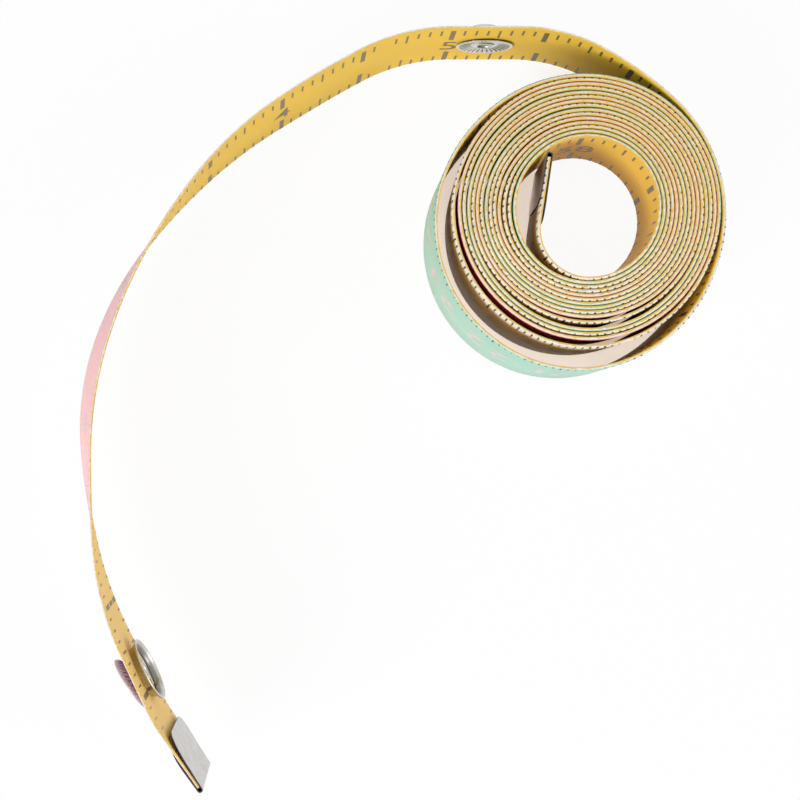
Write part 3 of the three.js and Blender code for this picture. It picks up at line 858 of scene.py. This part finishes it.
STUD_S = TAIL - COIL_TO_STUD
SOCKET_S = TAIL - COIL_TO_STUD - STUD_TO_SOCKET
CAP_SHIFT = 0.5
cap("stud_cap", STUD_S, "tail_near", "stud_post_cap", BRIGHT, rise=0.32, ring=0.24, depth=0.14)
cap(
    "socket_cap", SOCKET_S - CAP_SHIFT, "tail_end", "socket_post_cap", CAP_BACK,
    flip_side=True, stand=0.6, under=0.8, tilt=-8,
)

stud_profile = smooth_profile([
    (0.0, 1.3, 0), (0.6, 1.3, 0), (0.72, 1.6, 0), (0.8, 1.92, 0), (1.1, 2.05, 0),
    (1.6, 2.0, 0), (1.9, 1.8, 0), (1.96, 1.55, 0), (1.8, 1.2, 0), (1.62, 0.95, 0),
    (1.64, 0.6, 0), (1.9, 0.38, 0), (2.6, 0.3, 0), (3.3, 0.26, 0), (3.58, 0.16, 0),
    (3.6, -0.02, 0), (3.4, -0.16, 0), (0.0, -0.18, 0),
], 5, FACE)
stud = turned("stud_ball", stud_profile, 96, BRIGHT)
stud.matrix_world = local_frame(STUD_S, False, True)
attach(stud, "tail_near")
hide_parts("stud")

# On the cup, the third column cuts no pleats, as the depth is zero: it only paints shade on the cup's inner
# wall and floor.
shell_profile = smooth_profile([
    (1.5, -0.15, 0), (3.35, -0.15, 0), (3.55, 0.0, 0), (3.64, 0.25, 0), (3.72, 0.5, 0),
    (3.92, 0.78, 0), (4.18, 0.98, 0), (4.34, 1.16, 0), (4.33, 1.33, 0), (4.2, 1.4, 0),
    (4.06, 1.34, 0), (3.92, 1.16, 0.3), (3.72, 0.94, 0.56), (3.56, 0.74, 0.62),
    (3.48, 0.56, 0.62), (3.46, 0.44, 0.62), (3.48, 0.34, 0.6), (3.38, 0.2, 0.55),
    (3.1, 0.12, 0.5), (1.5, 0.12, 0.45),
], 5, FACE)
shell = turned("socket_cup", shell_profile, 128, SHELL, lambda angle: 1.0)
hub_profile = smooth_profile([
    (1.52, 0.0, 0), (1.52, 0.3, 0), (1.46, 0.5, 0), (1.28, 0.6, 0), (1.08, 0.54, 0),
    (1.0, 0.4, 0), (0.98, 0.1, 0), (0.8, 0.02, 0), (0.0, 0.02, 0),
], 5, FACE)
hub = turned("socket_barrel_rim", hub_profile, 64, BRIGHT)
SOCKET_TILT = Matrix.Rotation(math.radians(4), 4, "X")
WIRE_RADIUS = 0.17
for obj in (shell, hub):
    obj.matrix_world = local_frame(SOCKET_S, False, False) @ SOCKET_TILT
    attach(obj, "tail_end")
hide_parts("socket_shell")


def spring():
    """The socket's wire: two straight legs across the hole, joined by a bend round the shell."""
    leg, radius, spread, level = 2.2, 3.24, 1.75, FACE + 0.36
    points = [(-spread, leg), (-spread, 0), (-spread, -leg)]
    for angle in np.radians(np.linspace(-120, 33, 9)):
        points.append((radius * math.cos(angle), radius * math.sin(angle)))
    points += [(2.3, 2.2), (spread, leg - 0.1), (spread, 0), (spread, -leg)]
    line = smooth_profile(points, 8)
    curve = bpy.data.curves.new("socket_wire", "CURVE")
    curve.dimensions = "3D"
    curve.bevel_depth = WIRE_RADIUS * MM
    curve.bevel_resolution = 4
    curve.use_fill_caps = True
    path = curve.splines.new("POLY")
    path.points.add(len(line) - 1)
    for item, (across, along) in zip(path.points, line):
        item.co = (along * MM, level * MM, across * MM, 1)
    curve.materials.append(WIRE)
    obj = bpy.data.objects.new("socket_wire", curve)
    bpy.context.scene.collection.objects.link(obj)
    obj.matrix_world = local_frame(SOCKET_S, False, False) @ SOCKET_TILT
    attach(obj, "tail_end")
    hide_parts("socket_spring")


spring()


SHORT_LEAF = 0.74
SHORT_SPLAY = 0.35
SPLAY_POWER = 1.4
LEAF_CLEAR = 0.05
EDGE_ROUND = 0.06
LONG_STEPS, FOLD_STEPS, SHORT_STEPS, COLUMNS = 26, 17, 22, 33
NOT_AT_MOUTH = 99.0


def ferrule(name, s, body, cad, length, splay, outside, flip_along):
    """A folded metal end: one sheet bent round the strip's end, with rounded corners at its mouth."""
    sheet, inside, corner = 0.14, 0.32, 3.0
    short = length * SHORT_LEAF
    mid = (inside + outside + sheet) / 2
    centre = (inside - outside) / 2
    path = []
    for t in np.linspace(0, 1, LONG_STEPS):
        x = -length + t * (length - mid)
        path.append((x, centre + mid + splay * (1 - t) ** SPLAY_POWER, length + x))
    for angle in np.linspace(90, -90, FOLD_STEPS)[1:-1]:
        a = math.radians(angle)
        path.append((-mid + mid * math.cos(a), centre + mid * math.sin(a), NOT_AT_MOUTH))
    for t in np.linspace(0, 1, SHORT_STEPS):
        x = -mid - t * (short - mid)
        path.append((x, centre - mid - splay * SHORT_SPLAY * t**SPLAY_POWER, short + x))
    verts, faces = [], []
    for x, y, from_mouth in path:
        half = WIDTH / 2 + LEAF_CLEAR
        if from_mouth < corner:
            half -= corner - math.sqrt(max(corner**2 - (corner - from_mouth) ** 2, 0.0))
        for c in range(COLUMNS):
            t = c / (COLUMNS - 1) * 2 - 1
            verts.append((x, y, half * math.sin(t * math.pi / 2) if abs(t) < 1 else half * t))
    for i in range(len(path) - 1):
        for c in range(COLUMNS - 1):
            a = i * COLUMNS + c
            faces.append((a, a + 1, a + COLUMNS + 1, a + COLUMNS))
    obj = new_object(name, verts, faces, None, (NICKEL, CUT_EDGE_PAINTED_DARK))
    solid = obj.modifiers.new("sheet", "SOLIDIFY")
    solid.thickness = sheet * MM
    solid.offset = 0
    # The sheet's rim takes the near-black cut-edge material, a painted dark reflection.
    solid.material_offset_rim = 1
    soft = obj.modifiers.new("edge", "BEVEL")
    soft.width = EDGE_ROUND * MM
    soft.segments = 2
    soft.limit_method = "ANGLE"
    soft.angle_limit = SHARP
    obj.matrix_world = local_frame(s, flip_along, False)
    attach(obj, body)
    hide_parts(cad)


ferrule(
    "outer_metal_end", 0.0, "tail_end", "outer_ferrule",
    length=8.3, splay=0.45, outside=0.15, flip_along=False,
)
ferrule(
    "inner_metal_end", LENGTH, "inner_end", "inner_ferrule",
    length=9.1, splay=0.1, outside=0.27, flip_along=True,
)


# Floor, light and camera; where the cloth closes the floor in, its glow is painted cream, as shade with
# warm bounce light, and brown where it is deepest
def seen_rays(tree):
    """One for camera, glossy and transmission rays, which see floor and background white."""
    rays = node(tree, "ShaderNodeLightPath")
    seen = math_node(tree, "MAXIMUM", rays.outputs["Is Camera Ray"], rays.outputs["Is Glossy Ray"])
    return math_node(tree, "MAXIMUM", seen, rays.outputs["Is Transmission Ray"])


FLOOR_HALF = 900
FLOOR_DROP = 0.02
FLOOR_GLOW = 0.94
corners = [(x * FLOOR_HALF, y * FLOOR_HALF, 0) for x, y in ((-1, -1), (1, -1), (1, 1), (-1, 1))]
floor = new_object("floor", corners, [(0, 1, 2, 3)], smooth=False)
floor.location.z = -FLOOR_DROP * MM
mat = bpy.data.materials.new("floor")
mat.use_nodes = True
tree = mat.node_tree
tree.nodes.clear()
out = node(tree, "ShaderNodeOutputMaterial")
paper = node(tree, "ShaderNodeBsdfDiffuse", Color=(0.95, 0.95, 0.95, 1))
glow = node(tree, "ShaderNodeEmission", Color=(1, 1, 1, 1), Strength=1.0)
mixer = node(tree, "ShaderNodeMixShader")
seen = seen_rays(tree)
share = math_node(tree, "MULTIPLY", seen, FLOOR_GLOW)
# Painted shade and bounce light: ambient occlusion turns the floor's glow cream in narrow gaps and brown in
# the deepest ones.
near = node(tree, "ShaderNodeAmbientOcclusion", Distance=0.012, samples=24)
closed_in = span(tree, near.outputs["AO"], 0.2, 0.28, 1.0, 0.0)
deepest = span(tree, near.outputs["AO"], 0.02, 0.08, 1.0, 0.0)
shaded = mix_colour(tree, deepest, (0.94, 0.8, 0.68), (0.55, 0.43, 0.33))
glow_painted_shade = mix_colour(tree, closed_in, (1.0, 1.0, 1.0), shaded)
tree.links.new(glow_painted_shade, glow.inputs["Color"])
tree.links.new(share, mixer.inputs[0])
tree.links.new(paper.outputs[0], mixer.inputs[1])
tree.links.new(glow.outputs[0], mixer.inputs[2])
tree.links.new(mixer.outputs[0], out.inputs[0])
floor.data.materials.append(mat)
floor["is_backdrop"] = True

world = bpy.data.worlds.new("studio")
bpy.context.scene.world = world
world.use_nodes = True
tree = world.node_tree
tree.nodes.clear()
out = node(tree, "ShaderNodeOutputWorld")
light = node(tree, "ShaderNodeBackground", Color=(1, 1, 1, 1), Strength=0.38)
white = node(tree, "ShaderNodeBackground", Color=(1, 1, 1, 1), Strength=1.0)
mixer = node(tree, "ShaderNodeMixShader")
seen = seen_rays(tree)
tree.links.new(seen, mixer.inputs[0])
tree.links.new(light.outputs[0], mixer.inputs[1])
tree.links.new(white.outputs[0], mixer.inputs[2])
tree.links.new(mixer.outputs[0], out.inputs[0])


def area_light(name, location, target, size, power):
    data = bpy.data.lights.new(name, "AREA")
    data.shape = "DISK"
    data.size = size
    data.energy = power
    obj = bpy.data.objects.new(name, data)
    obj.location = location
    obj.rotation_mode = "QUATERNION"
    obj.rotation_quaternion = (Vector(target) - Vector(location)).to_track_quat("-Z", "Y")
    bpy.context.scene.collection.objects.link(obj)


area_light("key", (-0.385, -0.385, 0.44), (0, 0, 0), size=0.4, power=3.45)
area_light("fill", (0.6, -0.12, 0.34), (0, 0, 0), size=0.4, power=1.6)

# The camera looks straight down; image centre and scale as measured on the tape's marks
PX = 7.56
EYE = 228.0
PICTURE = 800
SENSOR = 36
BORE_PX = (188.6, 192.4)
camera = bpy.data.cameras.new("camera")
camera.sensor_width = SENSOR
camera.lens = SENSOR * PX * (EYE - WIDTH) / PICTURE
camera.clip_start = 0.005
eye = bpy.data.objects.new("camera", camera)
eye.location = ((BORE.x - BORE_PX[0] / PX) * MM, (BORE.y - BORE_PX[1] / PX) * MM, EYE * MM)
eye.rotation_euler = (0, 0, 0)
bpy.context.scene.collection.objects.link(eye)
bpy.context.scene.camera = eye
bpy.context.scene.view_settings.view_transform = "Standard"

low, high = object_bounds()
